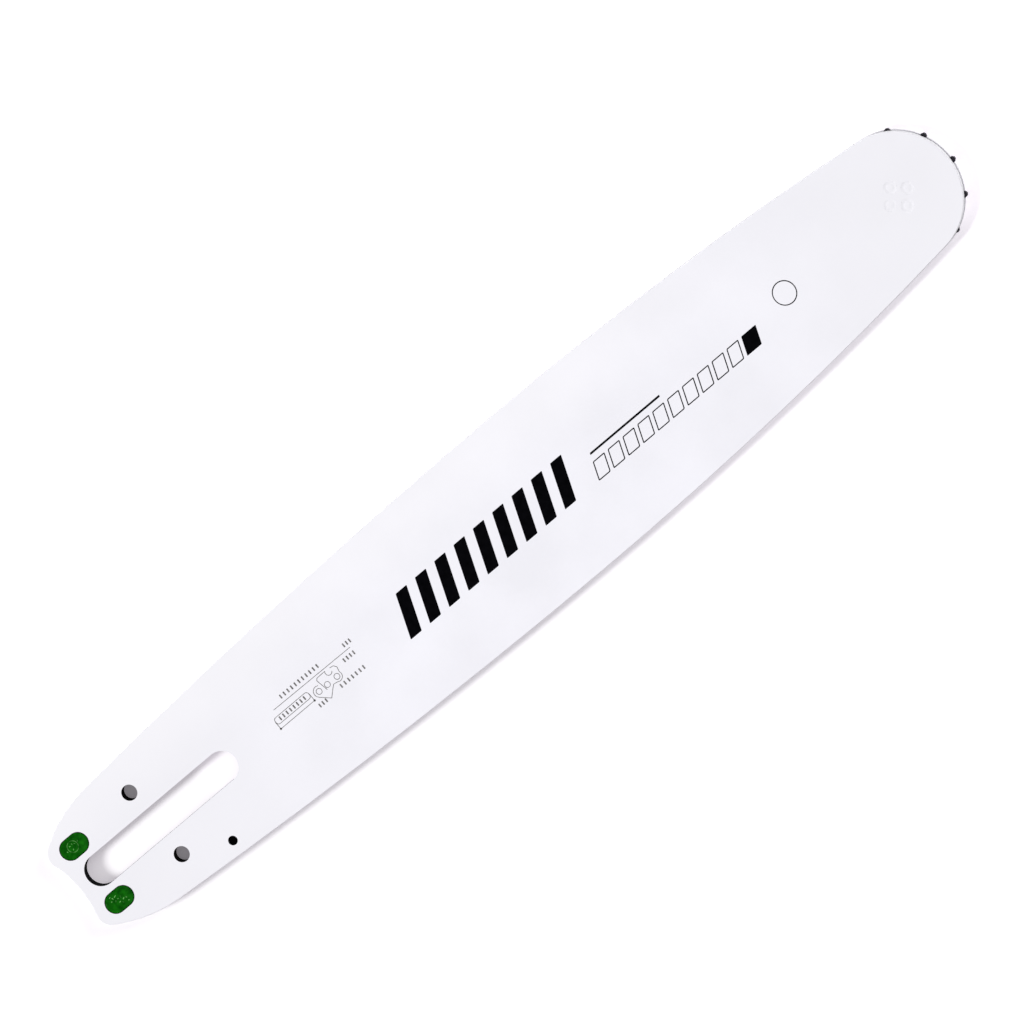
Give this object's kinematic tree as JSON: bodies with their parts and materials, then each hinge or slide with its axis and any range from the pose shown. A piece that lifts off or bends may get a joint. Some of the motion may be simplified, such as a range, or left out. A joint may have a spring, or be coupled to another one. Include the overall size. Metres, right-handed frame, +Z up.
{
  "type": "chainsaw guide bar",
  "caption": "Flat laminated chainsaw guide bar that carries the saw chain in an edge groove, with a round nose on a turning sprocket, a stud slot, tensioner and oil holes and green plugs.",
  "frame": {"origin": "centre of the stud slot on the saw-side face of the bar", "axes": "+X along the bar to the nose, +Y across it, +Z up through the plates to the front face"},
  "size_m": [0.4439, 0.0704, 0.0047],
  "materials": {
    "plate_coating": "satin near-white coat",
    "core_steel": "bare rolled steel",
    "sprocket_steel": "hardened, blackened",
    "bearing_steel": "ground",
    "plug_plastic": "moulded, glossy"
  },
  "bodies": {
    "bar": {"front_plate": "plate_coating", "core_plate": "core_steel", "back_plate": "plate_coating", "upper_plug": "plug_plastic", "lower_plug": "plug_plastic", "locating_disc": "plate_coating", "bearing_ring": "bearing_steel", "nose_rivets": "plate_coating"},
    "sprocket": {"nose_sprocket": "sprocket_steel"},
    "roller_set": {"roller_01": "bearing_steel", "roller_02": "bearing_steel", "roller_03": "bearing_steel", "roller_04": "bearing_steel", "roller_05": "bearing_steel", "roller_06": "bearing_steel", "roller_07": "bearing_steel", "roller_08": "bearing_steel", "roller_09": "bearing_steel", "roller_10": "bearing_steel", "roller_11": "bearing_steel", "roller_12": "bearing_steel", "roller_13": "bearing_steel", "roller_14": "bearing_steel", "roller_15": "bearing_steel", "roller_16": "bearing_steel", "roller_17": "bearing_steel", "roller_18": "bearing_steel"}
  },
  "joints": [
    {"name": "sprocket_spin", "type": "hinge", "parent": "bar", "child": "sprocket", "pos_m": [0.3741, 0, 0.00235], "axis": [0, 0, 1], "continuous": true},
    {"name": "roller_orbit", "type": "hinge", "parent": "bar", "child": "roller_set", "pos_m": [0.3741, 0, 0.00235], "axis": [0, 0, 1], "continuous": true}
  ],
  "couplings": [
    {"joint": "roller_orbit", "follows": "sprocket_spin", "ratio": 0.58682}
  ]
}
